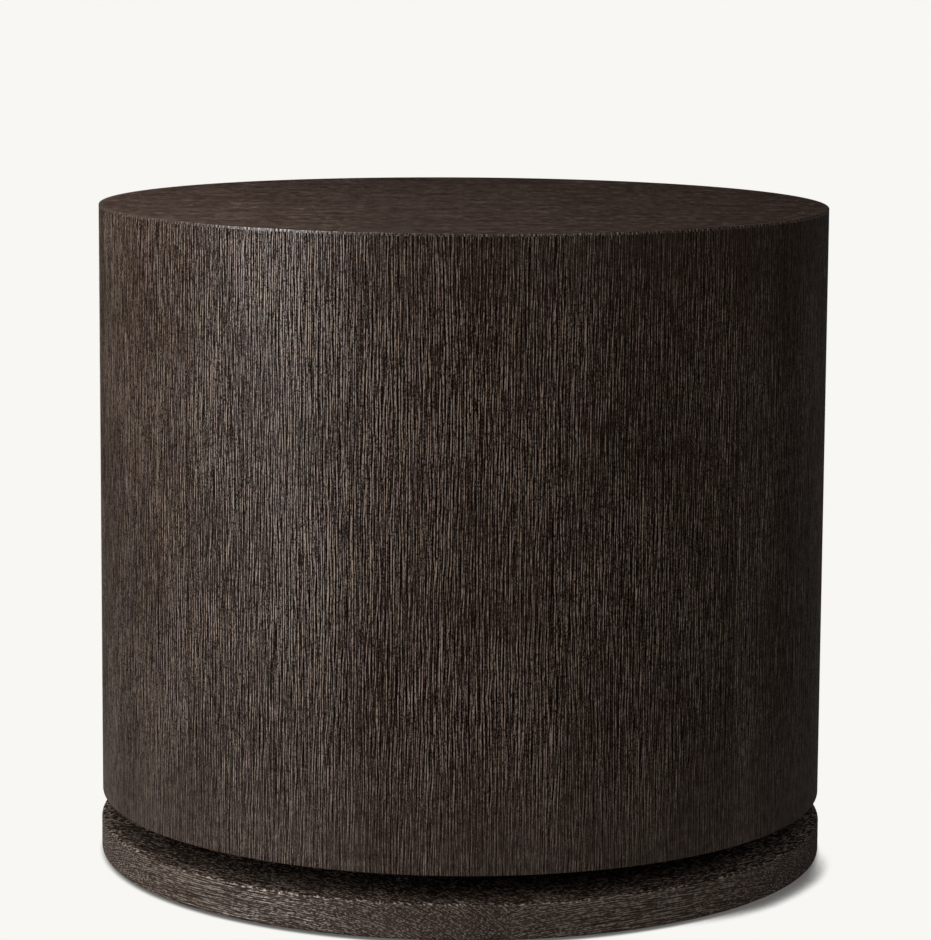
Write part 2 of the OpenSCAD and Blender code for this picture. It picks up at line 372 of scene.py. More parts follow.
def unit_box(places):
    """Places on a plane, moved and scaled to run from 0 to 1."""
    low = places.min(axis=0)
    return (places - low) / np.maximum(places.max(axis=0) - low, 1e-9)


def side_leaf_mesh(number, settings):
    """One leaf of the side: a thin curved slab, its profile in radius and height swept by angle.

    The profile runs from the inner lower corner round the small lower edge, up the outer face and
    back down inside. The outer face lies below the drum's radius by the brushed depth.
    """
    width = 2 * math.pi / SIDE_LEAVES
    column, row, low_edge = 0.42 * MM, 5 * MM, 0.8 * MM
    stations = int(width * DRUM_R / column) + 1
    angle = (number - 1.5) * width + np.linspace(0, width, stations)
    rows = int((VENEER_Z - DRUM_Z0) / row)
    heights = np.linspace(DRUM_Z0 + low_edge, VENEER_Z, rows + 1)
    corner = arc(DRUM_R - low_edge, DRUM_Z0 + low_edge, low_edge, -90, 0, 3)[:-1]
    face = together(DRUM_R, heights)
    inner = DRUM_R - SIDE_VENEER_T
    profile = np.concatenate([[[inner, DRUM_Z0]], corner, face, [[inner, VENEER_Z]]])

    across = (np.arange(stations) * width * DRUM_R / (stations - 1))[:, None]
    across, along, turned = np.broadcast_arrays(across, profile[:, 1], angle[:, None])
    ridge = brushed(100 * number, along, across, settings.ridge_spacing)
    ridge = faded(ridge, np.minimum(across, width * DRUM_R - across) / SEAM_W)
    middles = np.arange(SIDE_LEAVES) * width
    bite, high_bite = [np.interp(angle, middles, shares, period=2 * math.pi)[:, None]
                       for shares in (LEAF_BITE, HIGH_BITE)]
    low = ease((along - DRUM_Z0) / LOW_FADE_H)
    high = ease((VENEER_Z - along) / HIGH_FADE_H)
    bite = bite * (LOW_BITE + (1 - LOW_BITE) * low) * (high_bite + (1 - high_bite) * high)
    outer = np.zeros(len(profile))
    outer[1 + len(corner):-1] = 1
    radius = profile[:, 0] - settings.side_relief * bite * (1 - ridge) * outer
    points = round_the_table(radius, turned, along)

    grain = together(round_profile(across) + 0.37 * number, round_profile(along))
    steps = np.linalg.norm(np.diff(profile, axis=0, append=profile[:1]), axis=1)
    split = 1 + len(corner)
    share = even_runs([steps[:split], steps[split:-2], steps[-2:]], [0.015, 0.965, 0.02])
    bake = together(inset(np.linspace(0, 1, stations))[:, None], share)
    mesh = swept_mesh(f"side_leaf_{number}", points, grain, bake, [unit_box(profile)] * 2)
    set_values(mesh, "ridge", ridge)
    set_values(mesh, "bite", bite)
    return mesh


def top_leaf_mesh(number, settings):
    """One strip of the top: at each station across the grain, a flat profile along X.

    The profile runs along the upper face between the rim's two crossings, over the rounded arris
    and down the edge, and back along the underside. A strip's ends follow the round rim. Where an
    outer strip narrows to nothing, its stations draw together as the cosine of the rim's angle.
    """
    leaf = 2 * DRUM_R / TOP_LEAVES
    y0 = -DRUM_R + (number - 1) * leaf
    y1 = y0 + leaf
    column, row = 0.5 * MM, 6.4 * MM
    if number in (1, TOP_LEAVES):
        turn = math.acos(min(abs(y0), abs(y1)) / DRUM_R)
        rim = np.linspace(0, turn, int(1.25 * leaf / column) + 1)
        y = -DRUM_R * np.cos(rim) if number == 1 else DRUM_R * np.cos(rim[::-1])
    else:
        y = np.linspace(y0, y1, int(leaf / column) + 1)
    a = settings.arris
    rows = int(2 * DRUM_R / row)
    # Rim profile outwards and down: radius and level from the flat top to the underside
    rim_points = arc(DRUM_R - a, DRUM_Z1 - a, a, 90, 0, 4)
    rim_points = np.concatenate([rim_points, [[DRUM_R, VENEER_Z]]])
    flat_top = np.tile([DRUM_R - a, DRUM_Z1], (rows - 1, 1))
    radius, level = np.concatenate([rim_points[::-1], flat_top, rim_points]).T
    ones = np.ones(len(rim_points))
    spread = np.concatenate([-ones, np.linspace(-1, 1, rows + 1)[1:-1], ones])
    # The arris can't reach nearer the middle than the station itself lies
    reach = np.maximum(radius[None, :], np.abs(y)[:, None])
    x = spread[None, :] * np.sqrt(np.maximum(reach ** 2 - y[:, None] ** 2, 0))
    over = np.clip((reach - (DRUM_R - a)) / a, 0, 1)
    fall = DRUM_Z1 - a * (1 - np.sqrt(1 - over ** 2))
    z = np.minimum(np.broadcast_to(level, x.shape), fall)

    across = np.broadcast_to(y[:, None], x.shape)
    ridge = brushed(100 * number + 50, x, across, 0.8 * settings.ridge_spacing)
    ridge = faded(ridge, np.minimum(across - y0, y1 - across) / SEAM_W)
    on_top = (np.hypot(x, across) < DRUM_R - a - 0.1 * MM) & (np.abs(spread)[None, :] < 1)
    z = z - settings.top_relief * (1 - ridge) * on_top
    points = together(x, across, z)[:, ::-1]

    x, ridge = x[:, ::-1], ridge[:, ::-1]
    grain = together(round_profile(across) + 0.83 * number, round_profile(x))
    long_way = np.abs(np.diff(spread))
    long_way[long_way == 0] = a / DRUM_R
    share = even_runs([long_way, np.ones(1)], [0.97, 0.03])
    bake = together(inset((y - y[0]) / (y[-1] - y[0]))[:, None], share)
    caps = [unit_box(points[k][:, [2, 0]]) for k in (0, -1)]
    mesh = swept_mesh(f"top_leaf_{number}", points, grain, bake, caps)
    set_values(mesh, "ridge", ridge)
    # The rim carries the side's ridges: its places are counted round the table
    rim = ease((np.hypot(x, across) - (DRUM_R - 1.5 * a)) / a)
    set_values(mesh, "rim", rim)
    set_values(mesh, "rim_place", together(np.arctan2(x, -across) * DRUM_R, points[..., 2], 0))
    if number in (1, TOP_LEAVES):
        rework(mesh, merge_pole)
    return mesh


def rework(mesh, steps):
    """Edits a mesh by a function that is given its editable form."""
    work = bmesh.new()
    work.from_mesh(mesh)
    steps(work)
    work.to_mesh(mesh)
    work.free()


def merge_pole(work):
    """Joins the points that fall together where a strip narrows to nothing."""
    bmesh.ops.remove_doubles(work, verts=work.verts, dist=1e-6)
    bmesh.ops.dissolve_degenerate(work, edges=work.edges, dist=1e-7)


def turn_outwards(work):
    """Turns every face of a closed mesh outwards."""
    bmesh.ops.recalc_face_normals(work, faces=work.faces)


# How each base segment was cut from its board: the grain's turn from the chord in degrees, and the
# pith's place outwards from the table's middle and above the floor
BOARD_CUTS = ((-20, 0.330, -0.085), (6, 0.300, -0.110), (-9, 0.270, -0.095), (-4, 0.318, -0.070))


def grain_angle(number):
    """The angle, from the front, of the place on a segment's rim that its grain runs along."""
    return FIRST_MITRE + (number - 0.5) * SEGMENT_ANGLE + math.radians(BOARD_CUTS[number - 1][0])


def board_place(number, points):
    """Places in a segment's board: along the grain, across it and up, and the distance to the pith."""
    pith_out, pith_z = BOARD_CUTS[number - 1][1:]
    facing = grain_angle(number)
    along = points[..., 0] * math.cos(facing) + points[..., 1] * math.sin(facing)
    across = points[..., 0] * math.sin(facing) - points[..., 1] * math.cos(facing)
    return along, across, points[..., 2], np.hypot(across - pith_out, points[..., 2] - pith_z)


def ring_ridges(seed, along, across, height, ring, spacing):
    """Ridge height from 0 to 1 on solid wood: growth rings are a row of ridges in the distance to
    the pith, which wavers slowly. Fibres along the grain break them up.
    """
    waver = fibres(seed, along, across, height, 90 * MM, 9 * MM) - 0.5
    drift = fibres(seed + 1, along, across, height, 200 * MM, 30 * MM) - 0.5
    row = ridge_row(seed + 2, along, ring + 1.2 * MM * waver + 4 * MM * drift, spacing)
    fibre = fibres(seed + 5, along, across, height, 12 * MM, 0.9 * MM)
    return np.clip(0.5 + 0.8 * row + 0.5 * (fibre - 0.5), 0, 1)


def base_segment_mesh(number, settings):
    """A mitred quarter of the base ring: its profile in radius and height swept by angle.

    The profile starts under the outer edge, goes up the outer face, across the top and down inside.
    The underside has the round pocket of the levelling foot, and each mitred end a tongue's slot.
    """
    column, row, far_row = 0.8 * MM, 0.45 * MM, 4 * MM
    start = FIRST_MITRE + (number - 1) * SEGMENT_ANGLE
    stations = 2 * int(SEGMENT_ANGLE * BASE_R / (2 * column)) + 1
    angle = np.linspace(start, start + SEGMENT_ANGLE, stations)
    low, top = settings.low_edge, settings.top_edge
    low_arc = arc(BASE_R - low, BASE_Z0 + low, low, -90, 0, 6)
    top_arc = arc(BASE_R - top, BASE_Z1 - top, top, 0, 90, 6)
    face_rows = int((BASE_Z1 - BASE_Z0 - low - top) / row)
    face_z = np.linspace(BASE_Z0 + low, BASE_Z1 - top, face_rows + 1)[1:-1]
    face = together(BASE_R, face_z)
    steps = ((BASE_R - top, BRIGHT_R, column), (BRIGHT_R, SEEN_R, far_row))
    lid_r = np.concatenate([np.linspace(a, b, int((a - b) / step) + 1)[1:] for a, b, step in steps])
    lid = together(lid_r, BASE_Z1)
    inner = np.array([[RING_R0, BASE_Z1], [RING_R0, BASE_MID_Z], [RING_R0, BASE_Z0]])
    profile = np.concatenate([low_arc, face, top_arc, lid, inner])
    count = len(profile)

    radius, level, turned = np.broadcast_arrays(*profile.T, angle[:, None])
    along, across, height, ring = board_place(number, round_the_table(radius, turned, level))
    ridge = ring_ridges(1000 + 10 * number, along, across, height, ring, settings.ring_spacing)
    # Outward direction of the profile, which the relief follows, and none on the flat inner faces
    tilt = np.radians(np.concatenate([np.linspace(-90, 0, len(low_arc)), np.zeros(len(face)),
                                      np.linspace(0, 90, len(top_arc)), np.full(len(lid) - 1, 90)]))
    outward = np.zeros((count, 2))
    outward[1:len(tilt)] = together(np.cos(tilt), np.sin(tilt))[1:]
    # Under the drum the points lie too far apart for ridges
    lit = np.clip((radius - BRIGHT_R) / LIT_FADE_W, 0, 1)
    ends = np.minimum(turned - start, start + SEGMENT_ANGLE - turned) * BASE_R / MITRE_FADE_W
    ridge = faded(ridge, np.clip(ends, 0, 1) * lit)
    cut = settings.relief * (1 - ridge)
    points = round_the_table(radius - cut * outward[:, 0], turned, level - cut * outward[:, 1])

    vertices = [points.reshape(-1, 3)]
    faces = sweep_quads(stations, count, closed=False).tolist()
    middle = stations // 2
    outer_edge = np.arange(stations) * count
    inner_edge = outer_edge + count - 1
    # The underside is two faces, cut apart on the line through the pocket
    rim = add_hole(foot_pocket(start + SEGMENT_ANGLE / 2), vertices, faces)
    half = POCKET_SIDES // 2
    out_point, in_point = rim[0], rim[half]
    faces += [[*outer_edge[middle::-1], *inner_edge[:middle + 1], in_point, *rim[half + 1:], out_point],
              [*outer_edge[:middle - 1:-1], out_point, *rim[1:half], in_point, *inner_edge[middle:]]]
    half_way = len(low_arc) + int(np.argmin(np.abs(face[:, 1] - BASE_MID_Z)))
    for station, a, inwards in ((0, start, 1), (stations - 1, start + SEGMENT_ANGLE, -1)):
        low_out, high_out, high_in, low_in = add_hole(tongue_slot(a, inwards), vertices, faces)
        ring_row = station * count + np.arange(count)
        upper = [*ring_row[half_way:-1], low_in, high_in, high_out, low_out]
        lower = [*ring_row[:half_way + 1], low_out, low_in, *ring_row[-2:]]
        faces += [upper, lower] if inwards == 1 else [upper[::-1], lower[::-1]]
    mesh = bpy.data.meshes.new(f"base_piece_{number}")
    every_point = np.concatenate(vertices)
    mesh.from_pydata(every_point, [], [[int(v) for v in f] for f in faces])
    rework(mesh, turn_outwards)

    along, across, height, _ = board_place(number, every_point)
    set_values(mesh, "board", together(along + number, across, height))
    # The lid, from half way over the upper edge inwards, is darker than the face: painted shade of the
    # gap under the drum
    lids = np.broadcast_to(ease((outward[:, 1] - 0.45) / 0.3), (stations, count))
    for name, values, inside in (("ridge", ridge, 0.5), ("lid", lids, 0.0)):
        rest = np.full(len(every_point) - values.size, inside)
        set_values(mesh, name, np.concatenate([values.ravel(), rest]))
    # End grain takes more stain: 1 where the face looks along the grain, 0 where it lies along it
    turn = np.arctan2(every_point[:, 0], -every_point[:, 1]) - grain_angle(number)
    set_values(mesh, "end_grain", np.abs(np.sin(turn)))
    return mesh


def directions(angle):
    """Unit vectors outwards and sideways, at an angle round the table."""
    out = round_the_table(1, angle, 0)
    return out, np.array([-out[1], out[0], 0.0])


def foot_pocket(angle):
    """Rings of points of a levelling foot's pocket, turned about the foot's axis, from its rim in."""
    steps = ((POCKET_R, BASE_Z0), (POCKET_R, POCKET_Z), (INSERT_R, POCKET_Z), (INSERT_R, INSERT_Z))
    turn = np.arange(POCKET_SIDES) * 2 * math.pi / POCKET_SIDES
    out, side = directions(angle)
    circle = np.cos(turn)[:, None] * out + np.sin(turn)[:, None] * side
    return [FOOT_R * out + r * circle + (0, 0, z) for r, z in steps]


def tongue_slot(angle, inwards):
    """Rings of a loose tongue's slot: four corners on a mitred end, and four in the wood."""
    out, side = directions(angle)
    mouth = np.array([out * (FOOT_R + r * SLOT_W / 2) + (0, 0, BASE_MID_Z + z * SLOT_H / 2)
                      for r, z in ((1, -1), (1, 1), (-1, 1), (-1, -1))])
    return [mouth, mouth + inwards * SLOT_DEPTH * side]


def add_hole(rings, vertices, faces):
    """Adds a hole to lists of points and faces, and gives the numbers of its rim's points. Quads join
    neighbouring rings, and one face closes the last.
    """
    first = sum(map(len, vertices))
    index = first + np.arange(len(rings) * len(rings[0])).reshape(len(rings), -1)
    after = np.roll(index, -1, axis=1)
    faces += [*together(index[:-1], after[:-1], after[1:], index[1:]).reshape(-1, 4), index[-1]]
    vertices += rings
    return index[0]


# Materials

# The tone that shows the plain wood colour, how thick a ply is, and how far apart a stud's rings are
WOOD_TONE = 0.45
PLY_T = 1.5 * MM
STUD_RING_W = 4 * MM


class Value:
    """A number that varies over a surface. Arithmetic on it adds Math nodes."""

    def __init__(self, shop, socket):
        self.shop = shop
        self.socket = socket

    def math(self, operation, *inputs):
        return self.shop.node("ShaderNodeMath", {"operation": operation}, dict(enumerate(inputs)))

    def __add__(self, other):
        return self.math("ADD", self, other)

    def __radd__(self, other):
        return self.math("ADD", other, self)

    def __sub__(self, other):
        return self.math("SUBTRACT", self, other)

    def __rsub__(self, other):
        return self.math("SUBTRACT", other, self)

    def __mul__(self, other):
        return self.math("MULTIPLY", self, other)

    def __rmul__(self, other):
        return self.math("MULTIPLY", other, self)

    def __truediv__(self, other):
        return self.math("DIVIDE", self, other)

    def fraction(self):
        return self.math("FRACT", self)

    def distance(self, middle):
        return self.math("ABSOLUTE", self - middle)

    def rise(self, low, high):
        """0 below low, 1 above high, and straight between."""
        return self.shop.node("ShaderNodeMapRange", inputs={0: self, 1: low, 2: high})

    def above(self, low, high):
        """0 below low, 1 above high, and smooth between."""
        return self.shop.node("ShaderNodeMapRange", {"interpolation_type": "SMOOTHSTEP"},
                              {0: self, 1: low, 2: high})

    def axis(self, name):
        """One coordinate of a place: X, Y or Z."""
        return self.shop.node("ShaderNodeSeparateXYZ", inputs={0: self}, output=name)

    def vector(self, operation, other=(0, 0, 0), output="Vector"):
        """Vector arithmetic on a place."""
        inputs = {0: self, 1: other}
        return self.shop.node("ShaderNodeVectorMath", {"operation": operation}, inputs, output)

    def noise(self, cell, detail=2, roughness=0.5):
        """Noise over a place, mostly between 0.3 and 0.7. Its cells have these sizes in millimetres
        along each axis. On a flat map two sizes are enough.
        """
        scaled = self.vector("MULTIPLY", [1 / (size * MM) for size in (*cell, 1)[:3]])
        inputs = {"Vector": scaled, "Scale": 1, "Detail": detail, "Roughness": roughness}
        return self.shop.node("ShaderNodeTexNoise", inputs=inputs)


class Shop:
    """A node tree under construction, with one method that adds any node."""

    def __init__(self, data):
        data.use_nodes = True
        self.tree = data.node_tree

    def plug(self, value, socket):
        """Links a value to a socket, or gives the socket a number or a colour of three."""
        if isinstance(value, Value):
            self.tree.links.new(value.socket, socket)
        else:
            socket.default_value = (*value, 1) if socket.type == "RGBA" else value

    def node(self, kind, settings=None, inputs=None, output=0):
        """Adds a node, sets its settings, then its sockets from numbers or other nodes."""
        made = self.tree.nodes.new(kind)
        for key, value in (settings or {}).items():
            setattr(made, key, value)
        for key, value in (inputs or {}).items():
            self.plug(value, made.inputs[key])
        return Value(self, made.outputs[output])

    def choose(self, amount, a, b):
        """A blend of two shaders."""
        return self.node("ShaderNodeMixShader", inputs={0: amount, 1: a, 2: b})


class Finish(Shop):
    """A material under construction."""

    def __init__(self, name, **constants):
        self.material = bpy.data.materials.new(name)
        super().__init__(self.material)
        self.shader = self.tree.nodes["Principled BSDF"]
        for socket, value in constants.items():
            self.shader.inputs[socket.replace("_", " ")].default_value = value

    def dress(self, colour, roughness, height, strength, depth, coat=0):
        """Plugs in the surface's colour, roughness, relief with its depth in millimetres, and coat."""
        relief = {"Height": height, "Strength": strength, "Distance": depth * MM}
        normal = self.node("ShaderNodeBump", inputs=relief)
        sockets = {"Base Color": colour, "Roughness": roughness, "Normal": normal, "Coat Weight": coat}
        for socket, value in sockets.items():
            self.plug(value, self.shader.inputs[socket])
        return self.material

    def attribute(self, name, output="Fac"):
        return self.node("ShaderNodeAttribute", {"attribute_name": name}, output=output)

    def map_place(self, name):
        return self.node("ShaderNodeUVMap", {"uv_map": name})

    def object_place(self):
        return self.node("ShaderNodeTexCoord", output="Object")

    def mix(self, amount, a, b, blend="MIX"):
        """A colour between two colours."""
        values = {0: amount, 6: a, 7: b}
        return self.node("ShaderNodeMix", {"data_type": "RGBA", "blend_type": blend}, values, output=2)


def three_tones(finish, tone, settings):
    """Groove, wood and ridge colours at the tones 0, WOOD_TONE and 1."""
    low = finish.mix(tone.rise(0, WOOD_TONE), settings.groove_colour, settings.wood_colour)
    return finish.mix(tone.rise(WOOD_TONE, 1), low, settings.ridge_colour)


def side_oak(settings):
    """Side veneer: straight brushed ridges, pale partly by painted sheen and a little glossy at their
    tips.
    """
    finish = Finish("oak_side", Specular_IOR_Level=0.05, Coat_Roughness=0.45, Coat_IOR=1.7)
    place = finish.map_place("grain")
    ridge = finish.attribute("ridge")
    breaks = place.noise((1.3, 4.5), 1).rise(0.32, 0.68)
    fine = place.noise((0.7, 3), 1)
    pores = place.noise((1.0, 1.5), 1, 0.6)
    mottle = place.noise((6, 9), 2, 0.6)
    patch = place.noise((14, 34))
    band = place.noise((60, 600), 1)
    # Brushing bites harder in some places than in others
    calm = place.noise((70, 110), 1).above(0.35, 0.65)
    leaf_bite = finish.attribute("bite")
    bite = (0.8 + patch.above(0.35, 0.65) * 0.3) * (1.1 - calm * 0.35) * leaf_bite
    texture = (ridge - 0.5) * (0.6 + breaks * 2.9) + (fine - 0.5) * 0.9 + (pores - 0.5) * 1.2
    # Towards the lower edge the colour is a little paler: painted bounce light from the floor
    tone = 0.43 - leaf_bite * 0.07 - place.axis("Y").above(DRUM_Z0, DRUM_Z0 + LOW_FADE_H) * 0.06
    tone = tone + texture * bite + (band - 0.5) * 0.15 + (mottle - 0.5) * 0.3
    colour = three_tones(finish, tone, settings)
    warm = place.noise((22, 50)).above(0.35, 0.65)
    tint = finish.mix(warm, (1.0, 0.96, 0.84), (1.0, 0.91, 0.91))
    colour = finish.mix(1, colour, tint, "MULTIPLY")
    relief = ridge * 0.4 + fine + pores * 0.7
    return finish.dress(colour, 0.75 - ridge * 0.2, relief, 0.6, 0.25, coat=tone.above(0.2, 0.6))


def top_oak(settings):
    """Top veneer: the same stain on a smoother face, and glossy dots along its arris, their pale colour
    a painted highlight.
    """
    finish = Finish("oak_top", Specular_IOR_Level=0.15, Coat_Roughness=0.28, Coat_IOR=1.8)
    place = finish.map_place("grain")
    ridge = finish.attribute("ridge")
    fine = place.noise((1.5, 8), 2, 0.65)
    dash = place.noise((3.6, 10), 2, 0.6)
    streak = place.noise((3, 40), 3, 0.65)
    patch = place.noise((22, 80), 3, 0.6)
    texture = (ridge - 0.5) * 0.5 + (fine - 0.5) * 0.8 + (dash - 0.5) * 0.7
    texture = texture + (streak - 0.5) * 0.7 + (patch - 0.5) * 0.3
    face = three_tones(finish, 0.40 + texture, settings)
    face = finish.mix(1, face, (1.0, 0.96, 0.98), "MULTIPLY")
    # The pale dots in the arris's colour are a painted highlight; its coat adds real gloss
    edge_noise = finish.attribute("rim_place", "Vector").noise((1.8, 9, 9), 2, 0.7)
    edge = three_tones(finish, 0.42 + (edge_noise - 0.5) * 3, settings)
    rim = finish.attribute("rim")
    colour = finish.mix(rim, face, edge)
    height = ridge * 0.3 + fine + streak * 0.5 + rim * edge_noise
    gloss = rim * edge_noise.rise(0.42, 0.56)
    return finish.dress(colour, 0.66 + (fine - 0.5) * 0.25, height, 0.35, 0.15, coat=gloss)


def base_oak(settings):
    """Solid oak of the base: growth rings as ridges and fibres that show as specks on end grain."""
    finish = Finish("oak_base", Specular_IOR_Level=0.05, Coat_Roughness=0.38, Coat_IOR=2.7)
    board = finish.attribute("board", "Vector")
    ridge = finish.attribute("ridge")
    end_grain = finish.attribute("end_grain")
    lid = finish.attribute("lid")
    fine = board.noise((18, 0.9, 0.9), 2, 0.6)
    specks = board.noise((2.4, 0.7, 0.7), 1)
    dots = board.noise((3.4, 1.6, 1.6), 1)
    patch = board.noise((60, 14, 14), 1)
    texture = (ridge - 0.5) * (0.62 - end_grain * 0.34) + (fine - 0.5) * 0.6
    # On the lid, the stronger pale specks and the dots are painted glints
    texture = texture + (specks - 0.5) * (0.3 + end_grain * 0.6 + lid) + dots.above(0.52, 0.66) * lid
    # The edge between face and ledge is a little paler: a painted highlight
    edge = lid * (1 - lid) * 4
    tone = 0.42 + texture + (patch - 0.5) * 0.2 - end_grain * end_grain * 0.2
    # The lid's darkening is painted shade of the gap under the drum
    tone = tone - lid * 0.29 + edge * 0.12
    colour = three_tones(finish, tone, settings)
    height = ridge * 0.6 + fine * 1.3 + specks * 0.8 + dots * 1.3
    gloss = (ridge * 0.5 + fine * 0.8 + dots * 0.9).above(1.10, 1.30) * (1 - lid * 0.7)
    return finish.dress(colour, 0.75 - ridge * 0.2, height, 0.9, 0.45, coat=gloss)


def fibreboard():
    """Medium-density board: fine pale and dark flecks."""
    finish = Finish("fibreboard", Specular_IOR_Level=0.3)
    fleck = finish.object_place().noise((1.2, 1.2, 1.2), 3, 0.7)
    colour = finish.mix(fleck.above(0.3, 0.7), (0.26, 0.17, 0.09), (0.52, 0.38, 0.22))
    return finish.dress(colour, 0.7 + fleck * 0.2, fleck, 0.2, 0.3)


def plywood(name, bent):
    """Plywood: face grain on the faces and its plies on the edges. A bent sheet has them by radius."""
    finish = Finish(name, Specular_IOR_Level=0.3)
    place = finish.object_place()
    if bent:
        depth = place.vector("MULTIPLY", (1, 1, 0)).vector("DISTANCE", output="Value")
        grain = (2.5, 2.5, 90)
    else:
        depth = place.axis("Z")
        grain = (90, 2.5, 2.5)
    # Every other ply is darker, and there is a dark glue line between two of them
    count = depth / PLY_T
    odd = (count * 0.5).fraction().above(0.47, 0.53)
    glue = count.fraction().distance(0.5).above(0.40, 0.47)
    streak = place.noise(grain, 3, 0.6)
    wood = finish.mix(streak.above(0.3, 0.7), (0.40, 0.27, 0.14), (0.66, 0.50, 0.31))
    shaded = finish.mix(odd * 0.35, wood, (0.33, 0.21, 0.11))
    colour = finish.mix(glue * 0.8, shaded, (0.12, 0.07, 0.04))
    return finish.dress(colour, 0.62 + streak * 0.2, streak, 0.25, 0.3)


def softwood():
    """Pale softwood: broad early and late wood running up the studs."""
    finish = Finish("softwood", Specular_IOR_Level=0.3)
    place = finish.object_place()
    warp = place.noise((20, 20, 160))
    rings = (place.axis("Y") / STUD_RING_W + warp * 5).fraction()
    fibre = place.noise((0.8, 0.8, 25))
    wood = finish.mix(rings.above(0.3, 0.95), (0.68, 0.50, 0.30), (0.48, 0.29, 0.13))
    colour = finish.mix(fibre.above(0.35, 0.7) * 0.3, wood, (0.75, 0.60, 0.42))
    return finish.dress(colour, 0.6 + fibre * 0.2, fibre, 0.25, 0.25)


def black_board():
    """Board under matt black paint: a faint pebbled skin, dust-grey where it is thin."""
    finish = Finish("black_board", Specular_IOR_Level=0.25)
    place = finish.object_place()
    skin = place.noise((1.1, 1.1, 1.1), 3, 0.55)
    thin = place.noise((26, 26, 14), 3)
    colour = finish.mix(thin.above(0.35, 0.75), (0.008, 0.007, 0.0065), (0.020, 0.017, 0.015))
    return finish.dress(colour, 0.78 + (skin - 0.5) * 0.3, skin, 0.3, 0.2)


def nylon():
    """Black nylon of the leveller pads: an even moulded grain, rubbed where it meets the floor."""
    finish = Finish("nylon", Specular_IOR_Level=0.5)
    place = finish.object_place()
    pebble = place.noise((0.5, 0.5, 0.5), 1)
    rub = place.noise((6, 6, 2), 3, 0.65)
    colour = finish.mix(rub.above(0.55, 0.75) * 0.6, (0.012, 0.012, 0.013), (0.05, 0.05, 0.052))
    return finish.dress(colour, 0.45 + pebble * 0.25, pebble, 0.25, 0.15)


def plated_steel(name, bright, dull):
    """Zinc-plated steel: clouded plating and fine turning marks round each part."""
    finish = Finish(name, Metallic=1)
    place = finish.object_place()
    cloud = place.noise((5, 5, 5), 3, 0.6)
    marks = place.noise((4, 4, 0.25), 1)
    colour = finish.mix(cloud.above(0.35, 0.7), bright, dull)
    return finish.dress(colour, 0.28 + cloud * 0.25, marks, 0.2, 0.06)


def finish_nodes(material, *starts):
    """Gives a material to every solid whose name begins with one of the words."""
    found = [node for name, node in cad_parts.items() if name.startswith(starts)]
    if not found:
        raise RuntimeError(f"no solid is named {' or '.join(starts)}")
    for node in found:
        node.material_slots[0].material = material


# Operators

def add_pieces(count, make_mesh, make_material, settings, node):
    """Makes the pieces of one kind, each of which stands for the solid with its number."""
    material = make_material(settings)
    for number in range(1, count + 1):
        mesh = make_mesh(number, settings)
        add_piece(mesh.name, mesh, material, f"{node}_{number}")


class DRUM_TABLE_OT_side_leaves(Operator):
    """Makes the brushed veneer leaves round the drum"""

    bl_idname = "drum_table.side_leaves"
    bl_label = "Side Leaves"

    def execute(self, context):
        settings = context.scene.drum_table_drum
        add_pieces(SIDE_LEAVES, side_leaf_mesh, side_oak, settings, "side_veneer")
        return {"FINISHED"}


class DRUM_TABLE_OT_top_leaves(Operator):
    """Makes the veneer strips of the top, with their sanded arris"""

    bl_idname = "drum_table.top_leaves"
    bl_label = "Top Leaves"

    def execute(self, context):
        settings = context.scene.drum_table_drum
        add_pieces(TOP_LEAVES, top_leaf_mesh, top_oak, settings, "top_veneer")
        return {"FINISHED"}


class DRUM_TABLE_OT_base(Operator):
    """Makes the solid oak segments of the base"""

    bl_idname = "drum_table.base"
    bl_label = "Base Segments"

    def execute(self, context):
        settings = context.scene.drum_table_base
        add_pieces(SEGMENTS, base_segment_mesh, base_oak, settings, "base_segment")
        return {"FINISHED"}


class DRUM_TABLE_OT_inner_parts(Operator):
    """Finishes the boards, the frame, the levelling feet and the hardware"""

    bl_idname = "drum_table.inner_parts"
    bl_label = "Inner Parts"

    def execute(self, context):
        finish_nodes(fibreboard(), "top_panel")
        finish_nodes(plywood("plywood_bent", bent=True), "wall_shell")
        finish_nodes(plywood("plywood_flat", bent=False), "upper_former", "middle_former")
        finish_nodes(softwood(), "stud", "base_tongue")
        finish_nodes(black_board(), "drum_floor", "neck_ring", "base_core")
        finish_nodes(nylon(), "leveller_pad")
        zinc = plated_steel("zinc_steel", (0.62, 0.64, 0.66), (0.42, 0.43, 0.44))
        finish_nodes(zinc, "leveller_stem", "leveller_inserts", "hex_bolts", "bolt_washers",
                     "flanged_nuts")
        brass = plated_steel("yellow_steel", (0.70, 0.56, 0.28), (0.46, 0.36, 0.18))
        finish_nodes(brass, "top_screws", "floor_screws")
        return {"FINISHED"}


# The photograph's camera, found by fitting the table's edges
CAMERA_PLACE = (0.0, -2.8928, 0.774)
CAMERA_PITCH = math.radians(7.698)
CAMERA_YAW = math.radians(0.046)
CAMERA_ROLL = math.radians(0.375)
CAMERA_LENS_MM = 132.2
# The photograph was cropped, which left its optical centre a little above the middle
CAMERA_SHIFT = -0.0745
SENSOR_MM = 36
# The part of the room's light that shows in gloss, as in a studio that is dark behind the camera
GLOSS_SHARE = 0.15
# On the floor a thin dark line runs all round, and a wider shadow lies away from the key light. Its
# middle is at this angle from the front towards +X, and it thins out between two angles from there.
LINE_REACH = 5.5 * MM
SHADOW_REACH = 23 * MM
SHADOW_ANGLE = math.radians(60)
SHADOW_FULL = math.radians(8)
SHADOW_END = math.radians(32)
FLOOR_R = 60
# The floor's colour for the light it throws back at the table, and what a full shadow shows
FLOOR_BOUNCE = (0.40, 0.395, 0.38)
FLOOR_SHADE = (0.115, 0.112, 0.106)
ROOM_COLOUR = (1.0, 0.98, 0.95)


